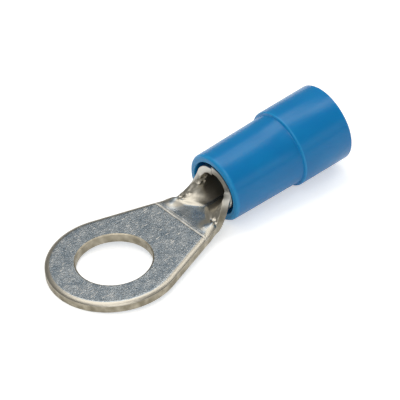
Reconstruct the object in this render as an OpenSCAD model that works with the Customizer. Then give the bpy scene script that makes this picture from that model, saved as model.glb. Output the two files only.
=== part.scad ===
// Insulated ring terminal, 6.4 mm stud hole, for 1.5 to 2.5 mm2 copper wire.
// One stamped and rolled sheet (tongue, neck, wire barrel) and one stepped sleeve.
// Millimetres. The origin is the stud hole's centre on the tongue's underside,
// +Z is the stud's axis and +X points to the end where the wire goes in.

/* [Ring tongue] */

// Thickness of the metal sheet
sheet_t = 0.8; // [0.7:0.01:0.95]
// Diameter of the stud hole
stud_d = 6.4; // [5.2:0.1:8]
// Diameter of the ring's outer round
ring_d = 11.3; // [10.2:0.1:13.2]
// Distance from the stud hole's centre back to the centre of the ring's outer round
ring_shift = 0.12; // [0:0.01:0.3]
// Width of the rounding that the punch leaves on the top edge
roll_w = 0.36; // [0.2:0.01:0.42]
// Depth of that rounding
roll_h = 0.17; // [0.08:0.01:0.22]
// Chamfer on the top edge of the stud hole
hole_chamfer = 0.08; // [0.04:0.01:0.15]

/* [Neck] */

// Place of the crease where the flat tongue ends
crease_x = 7.03; // [6.6:0.01:7.4]
// Narrowest width of the neck
neck_w = 5.14; // [4.6:0.01:5.6]
// Radius of the round notch between the tongue's side and the barrel's front edge
notch_r = 1.3; // [1.1:0.01:1.5]
// Place where the sheet begins to curl up
curl_start = 8.63; // [8.4:0.01:8.9]
// Length over which the flat sheet becomes a full round
curl_l = 2.15; // [2.1:0.01:2.6]
// Depth that the forming die presses into each face of the sheet behind the crease
press_in = 0.015; // [0.012:0.001:0.02]

/* [Wire barrel] */

// Outer diameter of the barrel
barrel_d = 4.2; // [3.9:0.01:4.4]
// Place of the barrel's front edge
barrel_front = 10.78; // [10.6:0.01:11]
// Length of the barrel
barrel_l = 6.6; // [5.6:0.1:7.9]
// How far the barrel's floor lies below the tongue's underside
floor_drop = 0.2; // [0:0.01:0.4]
// Gap of the butt seam along the top of the barrel
seam_gap = 0.1; // [0.06:0.01:0.2]

/* [Insulating sleeve] */

// Place of the sleeve's front end
sleeve_front = 10.8; // [10.7:0.01:11.2]
// Length of the whole sleeve
sleeve_l = 12.2; // [11:0.1:14.6]
// Length of the narrow front section
grip_l = 7.09; // [6:0.01:8.5]
// Wall thickness of the narrow section just before the step
grip_wall = 1.02; // [0.9:0.01:1.3]
// How much thinner the wall is at the front end
front_taper = 0.09; // [0:0.01:0.15]
// Height of the step between the narrow and the wide section
entry_step = 0.28; // [0.2:0.01:0.6]
// Wall thickness of the wide rear section
entry_wall = 0.8; // [0.6:0.01:1]
// Clearance round the barrel where the sleeve holds it
sleeve_gap = 0.03; // [0.02:0.01:0.06]
// Gap round the barrel in the sleeve's wider mouth
mouth_gap = 0.34; // [0.2:0.01:0.45]
// Depth of that mouth
mouth_l = 1.3; // [0.8:0.1:2]
// Rounding of the sleeve's outer edges
edge_r = 0.3; // [0.15:0.01:0.4]

/* [Hidden] */

$fn = 72;
ring_r = ring_d / 2;
stud_r = stud_d / 2;
barrel_r = barrel_d / 2;
bore_r = barrel_r - sheet_t;
// The sheet's middle layer keeps its length when it is bent.
mid_r = barrel_r - sheet_t / 2;
axis_h = barrel_r - floor_drop;
half_t = sheet_t / 2 - press_in;
curl_end = curl_start + curl_l;
// Half width of the flat blank where the wings meet in the seam
wing_w = 3.14159 * mid_r - seam_gap - press_in;
// Centre of the round notch, which touches the neck and the barrel's front edge
notch_x = barrel_front - notch_r;
notch_y = neck_w / 2 + notch_r;
// Each side is the straight line that touches both the ring's round and the notch.
side_taper = asin((ring_r + notch_r) / norm([notch_x + ring_shift, notch_y]))
    - atan2(notch_y, notch_x + ring_shift);
side_end = notch_x - notch_r * sin(side_taper);
loft_start = crease_x - 0.2;
// From here to the rear the barrel is a plain tube.
tube_front = max(curl_end, barrel_front + roll_w) + 0.36;
loft_end = tube_front + 0.6;
inner_steps = 12;
roll_steps = 3;
grip_r = barrel_r + sleeve_gap;
mouth_r = barrel_r + mouth_gap;
waist_r = grip_r + grip_wall;
front_r = waist_r - front_taper;
entry_r = waist_r + entry_step;
entry_bore_r = entry_r - entry_wall;
step_x = sleeve_front + grip_l;
sleeve_end = sleeve_front + sleeve_l;
barrel_end = barrel_front + barrel_l;

// Goes from 0 to 1 with a flat start and a flat end.
function ease(u) = let (v = min(1, max(0, u))) v * v * (3 - 2 * v);

// How strongly the sheet is bent at this distance along the terminal, as 1 / radius
function bend(x) = ease((x - curl_start) / curl_l) / mid_r;

// Height of the sheet's underside along the middle
function floor_z(x) = -floor_drop * sin(90 * min(1, max(0, (x - crease_x) / (curl_end - crease_x))));

// Point on the middle layer, x along the terminal and s across the flat blank
function layer(x, s) =
    let (k = max(0.00001, bend(x)), a = k * s * 57.29578)
    [x, sin(a) / k, floor_z(x) + sheet_t / 2 + (1 - cos(a)) / k];

// Direction of the sheet's top face at that point
function face_up(x, s) =
    let (e = 0.01, n = cross(layer(x + e, s) - layer(x - e, s), layer(x, s + e) - layer(x, s - e)))
    n / norm(n);

// Point h above the middle layer
function in_sheet(p, h) = layer(p[0], p[1]) + h * face_up(p[0], p[1]);

// Half width of the tongue between its straight sides
function side_w(x) = (ring_r - (x + ring_shift) * sin(side_taper)) / cos(side_taper);

// Edge of the flat blank as rows of: edge point, direction inward, place on the middle line,
// share of the punch rounding.
side_rows = [
    for (i = [0:7])
        let (x = loft_start + (side_end - loft_start) * i / 8)
        [[x, side_w(x) - press_in], [-sin(side_taper), -cos(side_taper)], x, 1]
];
notch_rows = [
    for (i = [0:14])
        let (a = -(90 + side_taper) * (1 - i / 14))
        [[notch_x + notch_r * cos(a), notch_y + notch_r * sin(a) - press_in], [cos(a), sin(a)],
            side_end + (curl_end - side_end) * i / 14, min(1, -a / 60)]
];
front_rows = [
    for (i = [1:3])
        [[barrel_front, notch_y + (wing_w - roll_w - notch_y) * i / 4], [1, 0], curl_end + 0.15 * i, 0]
];
seam_rows = [
    for (i = [0:6])
        [[barrel_front + (loft_end - barrel_front) * i / 6, wing_w], [i == 0 ? 1 : 0, -1],
            curl_end + 0.6 + (loft_end - curl_end - 0.6) * i / 6, 0]
];
rows = concat(side_rows, notch_rows, front_rows, seam_rows);

// Half of one row from the middle line to the edge: [place in the blank, depth of the rounding]
function half_row(r) =
    let (rim = r[0] + roll_w * r[1])
    concat(
        [for (i = [0:inner_steps]) [[r[2], 0] + (rim - [r[2], 0]) * i / inner_steps, 0]],
        [for (i = [1:roll_steps])
            let (a = 90 * i / roll_steps)
            [r[0] + roll_w * (1 - sin(a)) * r[1], roll_h * (1 - cos(a)) * r[3]]]
    );

// Closed section through the sheet, over the top face and back along the underside
function loop(r) =
    let (h = half_row(r), n = len(h) - 1)
    concat(
        [for (i = [-n:n]) let (q = h[abs(i)]) in_sheet([q[0][0], sign(i) * q[0][1]], half_t - q[1])],
        [for (i = [-n:n]) let (q = h[abs(i)]) in_sheet([q[0][0], -sign(i) * q[0][1]], -half_t)]
    );

// Skin between loops of the same length, closed by strips at both ends
module skin(loops) {
    n = len(loops[0]);
    last = len(loops) - 1;
    sides = [
        for (j = [0:last - 1], i = [0:n - 1], half = [0:1])
            let (a = j * n + i, b = j * n + (i + 1) % n)
            half == 0 ? [a, b, b + n] : [a, b + n, a + n]
    ];
    ends = [
        for (j = [0, last], i = [0:n / 2 - 2], half = [0:1])
            let (a = j * n + i, b = a + 1, c = j * n + n - 1 - i, d = c - 1,
                t = half == 0 ? [a, d, b] : [a, c, d])
            j == 0 ? t : [t[0], t[2], t[1]]
    ];
    polyhedron(points = [for (l = loops) each l], faces = concat(sides, ends), convexity = 6);
}

// Section of the tongue's edge: inner is how far it reaches in from the edge.
module edge_section(inner) {
    polygon(concat(
        [[-inner, 0], [0, 0]],
        [for (i = [roll_steps:-1:0])
            let (a = 90 * i / roll_steps)
            [-roll_w * (1 - sin(a)), sheet_t - roll_h * (1 - cos(a))]],
        [[-inner, sheet_t]]
    ));
}

// Flat tongue: round part, two tapered sides and the middle between them.
// The round part stops 1 mm short of its own centre, inside the stud hole.
module tongue() {
    run = (crease_x + ring_shift) / cos(side_taper) + 1;
    translate([-ring_shift, 0, 0])
        rotate([0, 0, 90 - side_taper])
            rotate_extrude(angle = 180 + 2 * side_taper, $fn = 144)
                translate([ring_r, 0])
                    edge_section(ring_r - 1);
    intersection() {
        union() {
            for (side = [0, 1])
                mirror([0, side, 0])
                    translate([-ring_shift, 0, 0])
                        rotate([0, 0, -side_taper])
                            translate([0, ring_r, 0])
                                rotate([90, 0, 90])
                                    linear_extrude(height = run)
                                        edge_section(2.5);
            translate([-ring_shift, 0, 0])
                linear_extrude(height = sheet_t)
                    polygon([
                        [-1, ring_r - 1.8],
                        [crease_x + ring_shift, side_w(crease_x) - 1],
                        [crease_x + ring_shift, 1 - side_w(crease_x)],
                        [-1, 1.8 - ring_r]
                    ]);
        }
        translate([-ring_shift - 1, -ring_d, -1])
            cube([crease_x + ring_shift + 1, 2 * ring_d, sheet_t + 2]);
    }
}

// Rolled wire barrel with its butt seam on top
module barrel() {
    translate([tube_front, 0, axis_h])
        rotate([0, 90, 0])
            difference() {
                cylinder(h = barrel_end - tube_front, r = barrel_r);
                translate([0, 0, -1])
                    cylinder(h = barrel_l + 2, r = bore_r);
                translate([-2 * barrel_r, -seam_gap / 2, -1])
                    cube([2 * barrel_r, seam_gap, barrel_l + 2]);
            }
}

// The whole sheet metal part
module terminal() {
    color([0.72, 0.73, 0.72])
        difference() {
            union() {
                tongue();
                skin([for (r = rows) loop(r)]);
                barrel();
            }
            translate([0, 0, -1])
                cylinder(h = sheet_t + 2, r = stud_r, $fn = 144);
            translate([0, 0, sheet_t - hole_chamfer])
                cylinder(h = 2 * hole_chamfer, r1 = stud_r, r2 = stud_r + 2 * hole_chamfer, $fn = 144);
        }
}

// Insulating sleeve, drawn as half a section along its axis and turned round it
module insulation_sleeve() {
    color([0.05, 0.42, 0.72])
        translate([0, 0, axis_h])
            rotate([0, 90, 0])
                rotate_extrude($fn = 96)
                    mirror([1, 0])
                        rotate(90)
                            polygon(concat(
                                [[sleeve_front, mouth_r]],
                                [for (i = [0:4])
                                    let (a = 180 - 22.5 * i)
                                    [sleeve_front + edge_r * (1 + cos(a)), front_r - edge_r * (1 - sin(a))]],
                                [[step_x - 0.1, waist_r], [step_x, entry_r - 0.12], [step_x + 0.12, entry_r]],
                                [[sleeve_end - 0.15, entry_r], [sleeve_end, entry_r - 0.15]],
                                [[sleeve_end, entry_bore_r + 0.15], [sleeve_end - 0.15, entry_bore_r]],
                                [[step_x + 0.3, entry_bore_r], [step_x - 0.2, grip_r]],
                                [[sleeve_front + mouth_l + 0.5, grip_r], [sleeve_front + mouth_l, mouth_r]]
                            ));
}

terminal();
insulation_sleeve();
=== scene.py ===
"""Insulated ring terminal: a stamped and rolled tin-plated sheet in a stepped blue sleeve.

Lengths are in millimetres up to the last step, where mesh code turns them to metres. Patterns
and lamps are given in metres.
"""
import math

import bmesh
import bpy
from mathutils import Matrix, Vector, noise


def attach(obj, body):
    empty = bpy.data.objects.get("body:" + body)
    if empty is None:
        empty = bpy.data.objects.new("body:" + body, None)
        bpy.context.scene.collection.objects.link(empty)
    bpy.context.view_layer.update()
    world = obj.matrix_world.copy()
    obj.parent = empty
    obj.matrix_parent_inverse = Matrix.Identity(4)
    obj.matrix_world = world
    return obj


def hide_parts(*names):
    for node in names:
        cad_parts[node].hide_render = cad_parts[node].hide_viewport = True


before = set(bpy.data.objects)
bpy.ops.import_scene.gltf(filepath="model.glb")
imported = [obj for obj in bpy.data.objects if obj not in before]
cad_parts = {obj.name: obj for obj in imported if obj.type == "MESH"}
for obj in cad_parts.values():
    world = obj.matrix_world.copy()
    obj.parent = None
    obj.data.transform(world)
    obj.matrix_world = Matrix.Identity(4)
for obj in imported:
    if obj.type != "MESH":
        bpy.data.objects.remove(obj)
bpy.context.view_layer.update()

MM = 0.001
SAME_POINT = 0.0002 * MM

# Ring tongue
SHEET_T = 0.8
STUD_R = 3.2
RING_R = 5.65
RING_SHIFT = 0.12
SIDE_TAPER = math.radians(20.2)
HOLE_RIM_W = 0.12
HOLE_RIM_D = 0.05
HOLE_STEPS = 128

# Rounding that the punch leaves along the outline, and the small corner below it
ROLL_W = 0.46
ROLL_H = 0.17
BARREL_ROLL = 0.5
CORNER = 0.05

# Neck and wings
CREASE_X = 7.03
NOTCH_R = 1.3
CURL_START = 8.63
CURL_L = 2.15
LEAST_BEND = 0.00001

# Wire barrel
BARREL_R = 2.1
BARREL_FRONT = 10.78
BARREL_L = 6.6
AXIS_H = 1.9
SEAM_GAP = 0.04
MID_R = BARREL_R - SHEET_T / 2
DROP = BARREL_R - AXIS_H
CURL_END = CURL_START + CURL_L
BARREL_END = BARREL_FRONT + BARREL_L
NOTCH_X = BARREL_FRONT - NOTCH_R
NOTCH_Y = ((RING_R + NOTCH_R - (NOTCH_X + RING_SHIFT) * math.sin(SIDE_TAPER))
           / math.cos(SIDE_TAPER))
WING_W = math.pi * MID_R - SEAM_GAP / 2

# What the forming die presses into the sheet; a pair is where a slope starts and its length
GROOVE_D = 0.035
GROOVE_W = 0.09
SECOND_GROOVE = 0.2
SHOULDER_H = 0.16
SHOULDER_RISES = (7.1, 0.9)
SHOULDER_FALLS = (8.4, 0.8)
SHOULDER_SIDE = 2.2
SHOULDER_W = 0.65
FOLD_H = 0.1
FOLD_X = 8.15
FOLD_SLANT = 1.6
FOLD_RISES = (2.3, 0.8)
FOLD_FALLS = (9.1, 1.2)
FLARE = 0.22
FLARE_RISES = (10.1, 0.6)
FLARE_FALLS = (10.9, 0.8)
FLARE_SIDE = (1.4, 1.2)

# Nips that the folding tool leaves beside the edge, about 0.4 mm long
NIP_D = 0.3
NIP_PLACE = 0.35
NIP_REACH = 0.6
NIP_BIAS = 0.3
MOUTH_NIPS = 0.25
NIPS_PER_MM = 3.3

# Rows of the sheet's grid, and the points of a row from the middle line to the edge
TIP_ROWS = 44
SIDE_ROWS = 30
CREASE_CLEAR = (-0.03, 0.045)
CREASE_ROWS = (-0.18, -0.09, -0.045, 0, 0.045, 0.09, 0.15, 0.2, 0.25, 0.3)
NOTCH_ROWS = 28
MOUTH_ROWS = 8
MOUTH_STEP = 0.075
BARREL_ROWS = 24
INNER = 24
ROLLS = 5
CORNERS = 3

# Insulating sleeve
SLEEVE_FRONT = 10.8
SLEEVE_L = 12.2
GRIP_L = 7.09
FRONT_R = 3.06
WAIST_R = 3.15
ENTRY_R = 3.43
ENTRY_WALL = 0.8
MOUTH_R = 2.44
MOUTH_L = 1.3
SLEEVE_GAP = 0.03
FRONT_ROUND = 0.3
STEP_ROUND = 0.12
REAR_ROUND = 0.18
STEP_FOOT = 0.03
LIP = 0.05
MOUTH_TAPER = 0.5
ENTRY_FUNNEL = (0.2, 0.3)
ENTRY_BEVEL = 0.15
SLEEVE_STEPS = 120
STEP_X = SLEEVE_FRONT + GRIP_L
SLEEVE_END = SLEEVE_FRONT + SLEEVE_L

# Floor
FLOOR_REACH = 2.0
FLOOR_GAP = 0.01


# ---------------------------------------------------------------- materials

def linear(hex_colour):
    """An sRGB hex colour as linear RGBA."""
    parts = [int(hex_colour[i:i + 2], 16) / 255 for i in (1, 3, 5)]
    return [c / 12.92 if c <= 0.04045 else ((c + 0.055) / 1.055) ** 2.4 for c in parts] + [1.0]


def add(tree, kind, settings=None, inputs=None, stops=()):
    """Adds a node. An input is a value, or an output socket to link from; a colour ramp takes
    its two stops as pairs of place and hex colour."""
    node = tree.nodes.new(kind)
    for name, value in (settings or {}).items():
        setattr(node, name, value)
    for i, (place, colour) in enumerate(stops):
        node.color_ramp.elements[i].position = place
        node.color_ramp.elements[i].color = linear(colour)
    for name, value in (inputs or {}).items():
        if isinstance(value, bpy.types.NodeSocket):
            tree.links.new(value, node.inputs[name])
        else:
            node.inputs[name].default_value = value
    return node


def start_material(name):
    mat = bpy.data.materials.new(name)
    mat.use_nodes = True
    mat.node_tree.nodes.clear()
    return mat, mat.node_tree


def close_material(tree, shader):
    add(tree, "ShaderNodeOutputMaterial", inputs={"Surface": shader.outputs[0]})


def tin_plate():
    """Electroplated tin on stamped copper: a cool slate grey full of bright specks, smoother
    where the tools have burnished it, with a painted warm sheen on its tilted faces."""
    mat, tree = start_material("tin_plated_copper")
    place = add(tree, "ShaderNodeTexCoord").outputs["Object"]
    along = add(tree, "ShaderNodeSeparateXYZ", inputs={0: place}).outputs["X"]
    # Behind the crease the die has pressed the grain flat.
    die = add(tree, "ShaderNodeMapRange", inputs={
        "Value": along, "From Min": 0.0071, "From Max": 0.0083})
    # Where the sheet turns away from level, at rolled edges and wings, the tools have rubbed it
    # smoother; a warm tint is painted there as sheen, so that the highlights on these faces look
    # cream.
    facing = add(tree, "ShaderNodeTexCoord").outputs["Normal"]
    upward = add(tree, "ShaderNodeSeparateXYZ", inputs={0: facing}).outputs["Z"]
    level = add(tree, "ShaderNodeMath", {"operation": "ABSOLUTE"}, {0: upward})
    rubbed_and_sheen = add(tree, "ShaderNodeMapRange", inputs={
        "Value": level.outputs[0], "From Min": 0.999, "From Max": 0.985})
    smoothed = add(tree, "ShaderNodeMath", {"operation": "MAXIMUM"},
                   {0: die.outputs[0], 1: rubbed_and_sheen.outputs[0]})
    grainy = add(tree, "ShaderNodeMapRange", inputs={
        "Value": smoothed.outputs[0], "To Min": 1.0, "To Max": 0.15})
    # Blotches about 0.9 mm across, from the plating bath
    blotch = add(tree, "ShaderNodeTexNoise", inputs={
        "Vector": place, "Scale": 1100.0, "Detail": 3.0, "Roughness": 0.6})
    # Grain about 0.12 mm across, drawn coarser than the real one so that it shows
    grain = add(tree, "ShaderNodeTexNoise", inputs={
        "Vector": place, "Scale": 8000.0, "Detail": 3.0, "Roughness": 0.65})
    specks = add(tree, "ShaderNodeValToRGB", inputs={"Fac": grain.outputs["Fac"]},
                 stops=((0.58, "#000000"), (0.74, "#FFFFFF")))
    # Short handling scratches, under 1 mm long and 0.08 mm wide, in two directions
    scratches = []
    for turn, reach in ((0.5, (2000.0, 12000.0, 2000.0)), (-1.1, (1600.0, 11000.0, 1600.0))):
        lay = add(tree, "ShaderNodeMapping", inputs={
            "Vector": place, "Rotation": (0.0, 0.0, turn), "Scale": reach})
        line = add(tree, "ShaderNodeTexNoise", inputs={
            "Vector": lay.outputs[0], "Scale": 1.0, "Detail": 1.0})
        scratches.append(add(tree, "ShaderNodeValToRGB", inputs={"Fac": line.outputs["Fac"]},
                             stops=((0.68, "#000000"), (0.76, "#FFFFFF"))))
    worn = add(tree, "ShaderNodeMath", {"operation": "MAXIMUM"},
               {0: scratches[0].outputs[0], 1: scratches[1].outputs[0]})
    bright = add(tree, "ShaderNodeMath", {"operation": "MAXIMUM"},
                 {0: worn.outputs[0], 1: specks.outputs[0]})
    bright = add(tree, "ShaderNodeMath", {"operation": "MULTIPLY"},
                 {0: bright.outputs[0], 1: grainy.outputs[0]})
    # The crease: a painted highlight line 0.2 mm wide and a fainter one behind it, broken by the
    # blotches
    crease_highlights = []
    for middle, strength in ((0.00703, 1.0), (0.00727, 0.4)):
        off = add(tree, "ShaderNodeMath", {"operation": "SUBTRACT"}, {0: along, 1: middle})
        away = add(tree, "ShaderNodeMath", {"operation": "ABSOLUTE"}, {0: off.outputs[0]})
        crease_highlights.append(add(tree, "ShaderNodeMapRange", inputs={
            "Value": away.outputs[0], "From Min": 0.00011, "From Max": 0.00004,
            "To Max": strength}))
    crease = add(tree, "ShaderNodeMath", {"operation": "MAXIMUM"},
                 {0: crease_highlights[0].outputs[0], 1: crease_highlights[1].outputs[0]})
    patchy = add(tree, "ShaderNodeMapRange", inputs={
        "Value": blotch.outputs["Fac"], "From Min": 0.35, "From Max": 0.6, "To Min": 0.4})
    broken = add(tree, "ShaderNodeMath", {"operation": "MULTIPLY"},
                 {0: crease.outputs[0], 1: patchy.outputs[0]})
    # The painted crease highlight joins the bright marks.
    bright = add(tree, "ShaderNodeMath", {"operation": "MAXIMUM"},
                 {0: bright.outputs[0], 1: broken.outputs[0]})
    tone = add(tree, "ShaderNodeValToRGB", inputs={"Fac": blotch.outputs["Fac"]},
               stops=((0.35, "#8F9DA9"), (0.65, "#BCC4CA")))
    # Painted warm sheen: faces tilted from level take a cream tone, which colours their
    # highlights.
    tone = add(tree, "ShaderNodeMix", {"data_type": "RGBA"},
               {"Factor": rubbed_and_sheen.outputs[0], "A": tone.outputs[0], "B": linear("#BBB6AA")})
    colour = add(tree, "ShaderNodeMix", {"data_type": "RGBA"}, {
        "Factor": bright.outputs[0], "A": tone.outputs["Result"], "B": linear("#F4F0E8")})
    rough = add(tree, "ShaderNodeMapRange", inputs={
        "Value": bright.outputs[0], "To Min": 0.26, "To Max": 0.5})
    satin = add(tree, "ShaderNodeMath", {"operation": "MULTIPLY"},
                {0: rubbed_and_sheen.outputs[0], 1: 0.1})
    rough = add(tree, "ShaderNodeMath", {"operation": "ADD"},
                {0: rough.outputs[0], 1: satin.outputs[0]})
    relief = add(tree, "ShaderNodeMath", {"operation": "MULTIPLY"},
                 {0: grain.outputs["Fac"], 1: grainy.outputs[0]})
    bump = add(tree, "ShaderNodeBump", inputs={
        "Height": relief.outputs[0], "Strength": 0.35, "Distance": 0.00004})
    shader = add(tree, "ShaderNodeBsdfPrincipled", inputs={
        "Base Color": colour.outputs["Result"], "Metallic": 1.0,
        "Roughness": rough.outputs[0], "Normal": bump.outputs[0]})
    close_material(tree, shader)
    return mat


def sheared_edge():
    """The punched edge of the sheet: a smooth, dull band, a warm grey from the copper below."""
    mat, tree = start_material("sheared_copper_edge")
    place = add(tree, "ShaderNodeTexCoord").outputs["Object"]
    # Slow changes of tone, about 0.7 mm long
    cloud = add(tree, "ShaderNodeTexNoise", inputs={
        "Vector": place, "Scale": 1400.0, "Detail": 3.0})
    # Shear marks run through the thickness, about 0.15 mm apart.
    lay = add(tree, "ShaderNodeMapping", inputs={
        "Vector": place, "Scale": (6500.0, 6500.0, 900.0)})
    marks = add(tree, "ShaderNodeTexNoise", inputs={
        "Vector": lay.outputs[0], "Scale": 1.0, "Detail": 1.0})
    tone = add(tree, "ShaderNodeValToRGB", inputs={"Fac": cloud.outputs["Fac"]},
               stops=((0.35, "#8C8574"), (0.65, "#B6AF9E")))
    # Round the barrel's mouth the plating has closed over the edge.
    along = add(tree, "ShaderNodeSeparateXYZ", inputs={0: place}).outputs["X"]
    plated = add(tree, "ShaderNodeMapRange", inputs={
        "Value": along, "From Min": 0.0096, "From Max": 0.0106})
    tone = add(tree, "ShaderNodeMix", {"data_type": "RGBA"},
               {"Factor": plated.outputs[0], "A": tone.outputs[0], "B": linear("#CFCDC6")})
    rough = add(tree, "ShaderNodeMapRange", inputs={
        "Value": plated.outputs[0], "To Min": 0.42, "To Max": 0.3})
    bump = add(tree, "ShaderNodeBump", inputs={
        "Height": marks.outputs["Fac"], "Strength": 0.2, "Distance": 0.00002})
    shader = add(tree, "ShaderNodeBsdfPrincipled", inputs={
        "Base Color": tone.outputs["Result"], "Metallic": 1.0,
        "Roughness": rough.outputs[0], "Normal": bump.outputs[0]})
    close_material(tree, shader)
    return mat


def moulded_plastic():
    """Soft blue plastic from a mould: a smooth satin skin with a little depth in its colour."""
    mat, tree = start_material("moulded_blue_plastic")
    place = add(tree, "ShaderNodeTexCoord").outputs["Object"]
    # Slow unevenness of the colour, about 3 mm across
    cloud = add(tree, "ShaderNodeTexNoise", inputs={
        "Vector": place, "Scale": 330.0, "Detail": 2.0})
    tone = add(tree, "ShaderNodeValToRGB", inputs={"Fac": cloud.outputs["Fac"]},
               stops=((0.3, "#007FC2"), (0.7, "#0086C8")))
    # The thin front lip and the corner of the step let light through; a paler blue is painted
    # there as that glow.
    along = add(tree, "ShaderNodeSeparateXYZ", inputs={0: place}).outputs["X"]
    lip = add(tree, "ShaderNodeMapRange", inputs={
        "Value": along, "From Min": 0.01115, "From Max": 0.01095})
    beside = add(tree, "ShaderNodeMath", {"operation": "SUBTRACT"}, {0: along, 1: 0.01794})
    apart = add(tree, "ShaderNodeMath", {"operation": "ABSOLUTE"}, {0: beside.outputs[0]})
    corner = add(tree, "ShaderNodeMapRange", inputs={
        "Value": apart.outputs[0], "From Min": 0.00014, "From Max": 0.00006})
    painted_glow = add(tree, "ShaderNodeMath", {"operation": "MAXIMUM"},
               {0: lip.outputs[0], 1: corner.outputs[0]})
    # Painted glow: paler blue at the lip and the step's corner.
    tone = add(tree, "ShaderNodeMix", {"data_type": "RGBA"},
               {"Factor": painted_glow.outputs[0], "A": tone.outputs[0], "B": linear("#1C97D6")})
    # Fine skin of the mould, about 0.1 mm
    skin = add(tree, "ShaderNodeTexNoise", inputs={
        "Vector": place, "Scale": 9000.0, "Detail": 2.0})
    bump = add(tree, "ShaderNodeBump", inputs={
        "Height": skin.outputs["Fac"], "Strength": 0.12, "Distance": 0.00001})
    shader = add(tree, "ShaderNodeBsdfPrincipled", inputs={
        "Base Color": tone.outputs["Result"], "Roughness": 0.27, "IOR": 1.42,
        "Normal": bump.outputs[0], "Subsurface Weight": 0.2,
        "Subsurface Radius": (0.0002, 0.0008, 0.0014), "Subsurface Scale": 1.0})
    close_material(tree, shader)
    return mat


TIN = tin_plate()
EDGE = sheared_edge()
BLUE = moulded_plastic()


# ---------------------------------------------------------------- meshes and objects

def turned(section, axis, centre, steps, closed):
    """Turns a section, in millimetres, a full turn about an axis through the centre."""
    bm = bmesh.new()
    verts = [bm.verts.new(Vector(point) * MM) for point in section]
    following = verts[1:] + verts[:1] if closed else verts[1:]
    edges = [bm.edges.new(pair) for pair in zip(verts, following)]
    bmesh.ops.spin(bm, geom=verts + edges, axis=axis, cent=Vector(centre) * MM, steps=steps,
                   angle=2 * math.pi, use_merge=True)
    bmesh.ops.remove_doubles(bm, verts=bm.verts, dist=SAME_POINT)
    bmesh.ops.recalc_face_normals(bm, faces=bm.faces)
    return bm


def to_object(bm, name, *materials):
    mesh = bpy.data.meshes.new(name)
    bm.to_mesh(mesh)
    bm.free()
    obj = bpy.data.objects.new(name, mesh)
    bpy.context.scene.collection.objects.link(obj)
    for mat in materials:
        mesh.materials.append(mat)
    return obj


def smooth_below(obj, degrees):
    """Smooth shading, with an edge where faces meet at more than this angle."""
    mesh = obj.data
    bm = bmesh.new()
    bm.from_mesh(mesh)
    for f in bm.faces:
        f.smooth = True
    for e in bm.edges:
        e.smooth = len(e.link_faces) == 2 and e.calc_face_angle(0) < math.radians(degrees)
    bm.to_mesh(mesh)
    bm.free()


# ---------------------------------------------------------------- the sheet

def slope_up(value, start, length):
    """0 up to the start, 1 past the length, and smooth between."""
    u = min(1.0, max(0.0, (value - start) / length))
    return u * u * (3 - 2 * u)


def layer(x, s):
    """Point on the sheet's middle layer, x along the terminal and s across the flat blank."""
    # The flat keeps a trace of bend, so that nothing is divided by zero.
    k = max(LEAST_BEND, slope_up(x, CURL_START, CURL_L) / MID_R)
    through = min(1.0, max(0.0, (x - CREASE_X) / (CURL_END - CREASE_X)))
    sunk = DROP * math.sin(math.pi / 2 * through)
    return Vector((x, math.sin(k * s) / k, SHEET_T / 2 - sunk + (1 - math.cos(k * s)) / k))


def pressed(x, s):
    """How far the die lifts the sheet: the crease's two grooves, two low shoulders behind
    them, the slanting folds along which the wings leave the flat, and the mouth of one wing
    bent out to the sleeve."""
    side = abs(s)
    behind = x - CREASE_X
    first = max(0.0, 1 - abs(behind) / GROOVE_W)
    second = max(0.0, 1 - abs(behind - SECOND_GROOVE) / GROOVE_W)
    groove = GROOVE_D * (first + 0.5 * second)
    shoulder = (SHOULDER_H * slope_up(x, *SHOULDER_RISES) * (1 - slope_up(x, *SHOULDER_FALLS))
                * math.exp(-((side - SHOULDER_SIDE) / SHOULDER_W) ** 2))
    fold = (FOLD_H * slope_up(side + (x - FOLD_X) * FOLD_SLANT, *FOLD_RISES)
            * (1 - slope_up(x, *FOLD_FALLS)))
    flare = (FLARE * slope_up(x, *FLARE_RISES) * (1 - slope_up(x, *FLARE_FALLS))
             * slope_up(-s, *FLARE_SIDE))
    return shoulder + fold - groove - flare


def in_sheet(x, s, h):
    """Point h above the middle layer."""
    e = 0.01
    forward = layer(x + e, s) - layer(x - e, s)
    sideways = layer(x, s + e) - layer(x, s - e)
    return layer(x, s) + (h + pressed(x, s)) * forward.cross(sideways).normalized()


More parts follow.
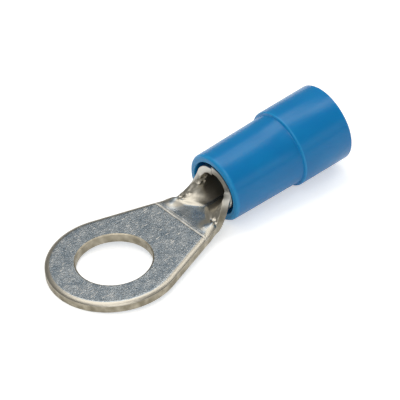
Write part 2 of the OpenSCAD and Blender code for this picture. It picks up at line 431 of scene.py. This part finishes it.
def blank_rows():
    """Rows over the flat blank from the ring's tip to the barrel's end: edge, inward
    direction, place on the middle line, share of the punch rounding and how hard the tool has
    nipped it."""
    rows = []

    def row(x, s, nx, ns, middle=None, roll=1.0, nipped=0.0):
        middle = x + ROLL_W * nx if middle is None else middle
        rows.append(((x, s), (nx, ns), middle, roll, nipped))

    turn = math.pi / 2 + SIDE_TAPER
    for i in range(TIP_ROWS + 1):
        a = turn * i / TIP_ROWS
        row(-RING_SHIFT - RING_R * math.cos(a), RING_R * math.sin(a), math.cos(a), -math.sin(a))
    first, middle = rows[-1][0], rows[-1][2]
    last = (NOTCH_X - NOTCH_R * math.sin(SIDE_TAPER), NOTCH_Y - NOTCH_R * math.cos(SIDE_TAPER))
    length = last[0] - first[0]
    crease = (CREASE_X - first[0]) / length
    # Even rows, which make way round the crease for closer ones
    shares = [i / SIDE_ROWS for i in range(1, SIDE_ROWS)]
    shares = [t for t in shares if not CREASE_CLEAR[0] < t - crease < CREASE_CLEAR[1]]
    shares += [crease + step / length for step in CREASE_ROWS]
    for t in sorted(shares):
        row(first[0] + length * t, first[1] + (last[1] - first[1]) * t,
            -math.sin(SIDE_TAPER), -math.cos(SIDE_TAPER), middle + (last[0] - middle) * t)
    for i in range(NOTCH_ROWS + 1):
        t = i / NOTCH_ROWS
        a = -turn * (1 - t)
        row(NOTCH_X + NOTCH_R * math.cos(a), NOTCH_Y + NOTCH_R * math.sin(a),
            math.cos(a), math.sin(a), last[0] + (CURL_END - last[0]) * t,
            nipped=math.sin(math.pi * t) ** 0.5)
    for i in range(1, MOUTH_ROWS):
        row(BARREL_FRONT, NOTCH_Y + (WING_W - ROLL_W - NOTCH_Y) * i / MOUTH_ROWS, 1, 0,
            CURL_END + MOUTH_STEP * i, nipped=MOUTH_NIPS)
    inside = CURL_END + MOUTH_STEP * MOUTH_ROWS
    for i in range(BARREL_ROWS + 1):
        t = i / BARREL_ROWS
        row(BARREL_FRONT + BARREL_L * t, WING_W, 1 if i == 0 else 0, -1,
            inside + (BARREL_END - inside) * t, roll=BARREL_ROLL)
    return rows


def half_row(edge, inward, middle, roll, nipped):
    """From the middle line to the edge: place in the blank and how far the top lies below."""
    def in_from_edge(back):
        return edge[0] + back * inward[0], edge[1] + back * inward[1]

    rim = in_from_edge(ROLL_W)
    points = [(middle + (rim[0] - middle) * i / INNER, rim[1] * i / INNER, 0.0)
              for i in range(INNER + 1)]
    slope = math.atan(2 * ROLL_H * roll / ROLL_W)
    last = CORNER * (1 - math.sin(slope))
    for i in range(1, ROLLS + 1):
        t = i / ROLLS
        points.append((*in_from_edge(ROLL_W + (last - ROLL_W) * t), ROLL_H * roll * t * t))
    for i in range(1, CORNERS + 1):
        a = slope + (math.pi / 2 - slope) * i / CORNERS
        low = ROLL_H * roll + CORNER * (math.cos(slope) - math.cos(a))
        points.append((*in_from_edge(CORNER * (1 - math.sin(a))), low))
    dented = []
    for x, s, low in points:
        back = math.hypot(x - edge[0], s - edge[1])
        deep = nipped * NIP_D * max(0.0, 1 - abs(back - NIP_PLACE) / NIP_REACH)
        uneven = NIP_BIAS + noise.noise(Vector((x, s, 0)) * NIPS_PER_MM)
        dented.append((x, s, low + deep * uneven))
    return dented


def rolled_sheet():
    """A grid laid over the blank, wrapped round its thickness and bent as the die bends it."""
    rows = [half_row(*r) for r in blank_rows()]
    side = len(rows[0]) - 1
    across = 2 * side + 1
    around = 2 * across
    bm = bmesh.new()
    bmesh.ops.create_grid(bm, x_segments=len(rows) - 1, y_segments=around, size=1.0)
    cut = []
    for f in bm.faces:
        j = min(round((v.co.y + 1) / 2 * around) for v in f.verts)
        if j in (across - 1, around - 1):
            cut.append(f)
    for v in bm.verts:
        i = round((v.co.x + 1) / 2 * (len(rows) - 1))
        j = round((v.co.y + 1) / 2 * around) % around
        top = j < across
        k = (j if top else around - 1 - j) - side
        x, s, low = rows[i][abs(k)]
        h = SHEET_T / 2 - low if top else -SHEET_T / 2
        v.co = in_sheet(x, s if k > 0 else -s, h) * MM
    for f in cut:
        f.material_index = 1
    bmesh.ops.remove_doubles(bm, verts=bm.verts, dist=SAME_POINT)
    ends = [e for e in bm.edges if e.is_boundary]
    for f in bmesh.ops.holes_fill(bm, edges=ends, sides=0)["faces"]:
        f.material_index = 1
    bmesh.ops.recalc_face_normals(bm, faces=bm.faces)
    return bm


def stud_punch():
    """The punch that leaves the stud hole, with a small flare that breaks the top edge."""
    beyond = 1.0
    section = [(0, -beyond), (STUD_R, -beyond), (STUD_R, SHEET_T - HOLE_RIM_D),
               (STUD_R + HOLE_RIM_W, SHEET_T), (STUD_R + HOLE_RIM_W, SHEET_T + beyond),
               (0, SHEET_T + beyond)]
    return turned([(r, 0, z) for r, z in section], (0, 0, 1), (0, 0, 0), HOLE_STEPS,
                  closed=False)


sheet = to_object(rolled_sheet(), "ring_tongue_and_barrel", TIN, EDGE)
punch = to_object(stud_punch(), "stud_punch", EDGE)
hole = sheet.modifiers.new("stud_hole", "BOOLEAN")
hole.operation = "DIFFERENCE"
hole.solver = "EXACT"
hole.material_mode = "TRANSFER"
hole.object = punch
bpy.context.view_layer.update()
punched = sheet.evaluated_get(bpy.context.evaluated_depsgraph_get())
punched_mesh = bpy.data.meshes.new_from_object(punched)
sheet.modifiers.clear()
sheet.data = punched_mesh
bpy.data.objects.remove(punch)
smooth_below(sheet, 35)


# ---------------------------------------------------------------- the sleeve

def rounded(x, r, size, steps, rear=False):
    """A quarter round in the outer corner at x and r, in the order that the section runs."""
    points = []
    for i in range(steps + 1):
        a = math.pi / 2 * i / steps
        less, more = size * (1 - math.cos(a)), size * (1 - math.sin(a))
        points.append((x - more, r - less) if rear else (x + less, r - more))
    return points


def sleeve_section():
    """Half a section along the axis: distance along, radius."""
    grip = BARREL_R + SLEEVE_GAP
    entry = ENTRY_R - ENTRY_WALL
    flank_from, flank_to = SLEEVE_FRONT + 0.4, STEP_X - 0.1
    flank = [(flank_from + (flank_to - flank_from) * t, FRONT_R + (WAIST_R - FRONT_R) * t)
             for t in (0.05, 0.35, 0.7, 1.0)]
    return [
        (SLEEVE_FRONT, MOUTH_R + LIP),
        *rounded(SLEEVE_FRONT, FRONT_R, FRONT_ROUND, 6),
        *flank,
        (STEP_X - STEP_FOOT, WAIST_R + STEP_FOOT),
        *rounded(STEP_X, ENTRY_R, STEP_ROUND, 5),
        *rounded(SLEEVE_END, ENTRY_R, REAR_ROUND, 5, rear=True),
        (SLEEVE_END, entry + ENTRY_BEVEL), (SLEEVE_END - LIP, entry + LIP),
        (SLEEVE_END - ENTRY_BEVEL, entry),
        (STEP_X + ENTRY_FUNNEL[1], entry), (STEP_X - ENTRY_FUNNEL[0], grip),
        (SLEEVE_FRONT + MOUTH_L + MOUTH_TAPER, grip), (SLEEVE_FRONT + MOUTH_L, MOUTH_R),
        (SLEEVE_FRONT + LIP, MOUTH_R)]


def sleeve_skin():
    section = [(x, 0, AXIS_H + r) for x, r in sleeve_section()]
    return turned(section, (1, 0, 0), (0, 0, AXIS_H), SLEEVE_STEPS, closed=True)


sleeve = to_object(sleeve_skin(), "insulating_sleeve", BLUE)
smooth_below(sleeve, 40)

for piece, node, slot in ((sheet, "terminal", "tinned_copper"),
                          (sleeve, "insulation_sleeve", "blue_plastic")):
    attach(piece, "root")
    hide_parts(node)


# ---------------------------------------------------------------- floor, light and camera

def floor():
    """A pale floor that the terminal rests on with its tip and with its sleeve's step."""
    mat, tree = start_material("pale_floor")
    path = add(tree, "ShaderNodeLightPath")
    # The floor looks white, to the camera and in reflections, and keeps a faint shadow.
    mirrored = add(tree, "ShaderNodeMath", {"operation": "MAXIMUM"},
                   {0: path.outputs["Is Glossy Ray"], 1: path.outputs["Is Transmission Ray"]})
    mirrored = add(tree, "ShaderNodeMath", {"operation": "MULTIPLY"},
                   {0: mirrored.outputs[0], 1: 0.3})
    seen = add(tree, "ShaderNodeMath", {"operation": "MULTIPLY"},
               {0: path.outputs["Is Camera Ray"], 1: 0.52})
    lift = add(tree, "ShaderNodeMath", {"operation": "MAXIMUM"},
               {0: mirrored.outputs[0], 1: seen.outputs[0]})
    shader = add(tree, "ShaderNodeBsdfPrincipled", inputs={
        "Base Color": linear("#F4F4F4"), "Roughness": 0.9, "Specular IOR Level": 0.0,
        "Emission Color": (1, 1, 1, 1), "Emission Strength": lift.outputs[0]})
    close_material(tree, shader)
    bm = bmesh.new()
    bmesh.ops.create_grid(bm, x_segments=1, y_segments=1, size=FLOOR_REACH)
    tip = (-RING_SHIFT - RING_R, 0.0)
    heel = (STEP_X + STEP_ROUND, AXIS_H - ENTRY_R)
    slope = math.atan2(tip[1] - heel[1], heel[0] - tip[0])
    bmesh.ops.rotate(bm, verts=bm.verts, cent=(0, 0, 0), matrix=Matrix.Rotation(slope, 3, "Y"))
    bmesh.ops.translate(bm, verts=bm.verts, vec=(tip[0] * MM, 0, (tip[1] - FLOOR_GAP) * MM))
    obj = to_object(bm, "floor", mat)


floor()


def softbox(name, place, aim, size, strength, colour="#FFFFFF"):
    """A rectangular soft light; strength is the brightness of its face, where 1 is white."""
    lamp = bpy.data.lights.new(name, "AREA")
    lamp.shape = "RECTANGLE"
    lamp.size, lamp.size_y = size
    lamp.energy = strength * math.pi * size[0] * size[1]
    lamp.color = linear(colour)[:3]
    obj = bpy.data.objects.new(name, lamp)
    obj.location = place
    obj.rotation_euler = (Vector(aim) - Vector(place)).to_track_quat("-Z", "Y").to_euler()
    bpy.context.scene.collection.objects.link(obj)


MIDDLE = (0.008, 0, 0)
WARM = "#FFFCF8"
softbox("overhead", (0.045, 0.13, 0.35), (0.045, 0.13, 0), (0.36, 0.26), 2.1, WARM)
softbox("tip_top", (-0.08, -0.13, 0.36), MIDDLE, (0.2, 0.2), 2.2, WARM)
softbox("cable_end", (0.29, 0.0, 0.28), MIDDLE, (0.12, 0.24), 2.4, WARM)
softbox("right_side", (0.18, -0.345, 0.09), MIDDLE, (0.2, 0.12), 0.7)
softbox("tip_side", (-0.26, -0.24, 0.24), MIDDLE, (0.3, 0.3), 0.7)

world = bpy.data.worlds.new("studio")
world.use_nodes = True
world.node_tree.nodes["Background"].inputs["Color"].default_value = (0.23, 0.23, 0.22, 1)
world.node_tree.nodes["Background"].inputs["Strength"].default_value = 1.0
bpy.context.scene.world = world


def camera():
    """Camera 0.6 m away, 40 degrees up on the tip's side, turned a little about its axis."""
    azimuth, elevation, roll = (math.radians(a) for a in (-35.891, 39.658, -6.228))
    distance, shift_across, shift_up = 600.0, 7.071, 5.531
    back = Vector((math.sin(azimuth) * math.cos(elevation),
                   -math.cos(azimuth) * math.cos(elevation), math.sin(elevation)))
    right = (-back).cross(Vector((0, 0, 1))).normalized()
    up = right.cross(-back)
    across = right * math.cos(roll) + up * math.sin(roll)
    upward = -right * math.sin(roll) + up * math.cos(roll)
    place = (back * distance + across * shift_across + upward * shift_up
             - Vector((RING_SHIFT, 0, 0)))
    data = bpy.data.cameras.new("camera")
    data.sensor_width = 36.0
    data.lens = 658.8603
    data.clip_start = 0.01
    obj = bpy.data.objects.new("camera", data)
    turn = Matrix((across, upward, back)).transposed()
    obj.matrix_world = Matrix.Translation(place * MM) @ turn.to_4x4()
    bpy.context.scene.collection.objects.link(obj)
    bpy.context.scene.camera = obj


camera()
bpy.context.scene.view_settings.view_transform = "Standard"
